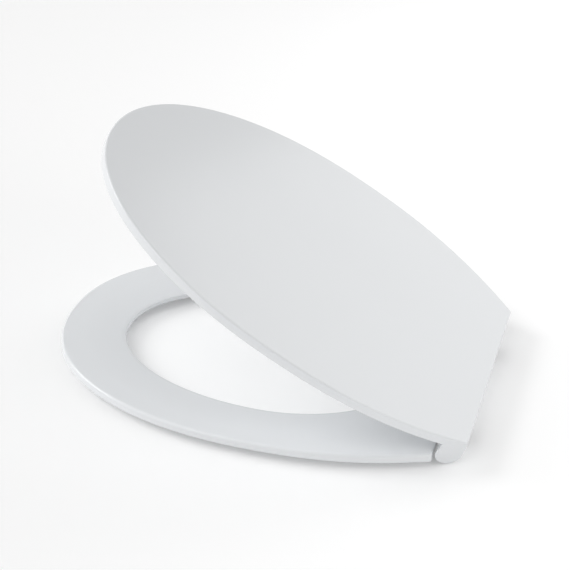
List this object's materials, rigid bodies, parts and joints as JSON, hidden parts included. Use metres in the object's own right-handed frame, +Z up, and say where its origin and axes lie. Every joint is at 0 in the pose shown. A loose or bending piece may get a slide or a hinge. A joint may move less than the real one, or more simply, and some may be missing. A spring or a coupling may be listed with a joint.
{
  "type": "toilet seat",
  "caption": "Slim lift-off toilet seat: egg-shaped lid with a rounded rear hinge barrel over a flat ring with a dished oval hole, on hidden soft-close hinges.",
  "frame": {"origin": "midway between the two stud sockets, on the plane of the pan's rim", "axes": "+X along the hinge, to the right as seen from the front; -Y to the front of the seat; +Z up"},
  "size_m": [0.352, 0.4374, 0.236],
  "materials": {
    "seat_white": "high gloss thermoset moulding",
    "buffer": "soft matt",
    "hinge_metal": "satin",
    "pin_steel": "ground",
    "damper_plastic": "moulded matt",
    "bush_plastic": "moulded matt"
  },
  "bodies": {
    "hinge": {"hinge_block_left": "hinge_metal", "hinge_block_right": "hinge_metal", "stud_sleeve_left": "bush_plastic", "stud_sleeve_right": "bush_plastic", "lid_damper_rotor": "bush_plastic", "ring_damper_rotor": "bush_plastic", "lid_pivot_pin": "pin_steel", "ring_pivot_pin": "pin_steel"},
    "ring": {"ring": "seat_white", "ring_buffer_front_left": "buffer", "ring_buffer_front_right": "buffer", "ring_buffer_rear_left": "buffer", "ring_buffer_rear_right": "buffer", "ring_damper_body": "damper_plastic", "ring_damper_cap": "damper_plastic", "ring_pivot_bush": "bush_plastic"},
    "lid": {"lid": "seat_white", "lid_buffer_left": "buffer", "lid_buffer_right": "buffer", "lid_damper_body": "damper_plastic", "lid_damper_cap": "damper_plastic", "lid_pivot_bush": "bush_plastic"}
  },
  "joints": [
    {"name": "ring_hinge", "type": "hinge", "parent": "hinge", "child": "ring", "pos_m": [0, 0, 0.0132], "axis": [-1, 0, 0], "range_deg": [0, 90]},
    {"name": "lid_hinge", "type": "hinge", "parent": "ring", "child": "lid", "pos_m": [0, 0, 0.0132], "axis": [-1, 0, 0], "range_deg": [-28.6, 66.4]}
  ]
}
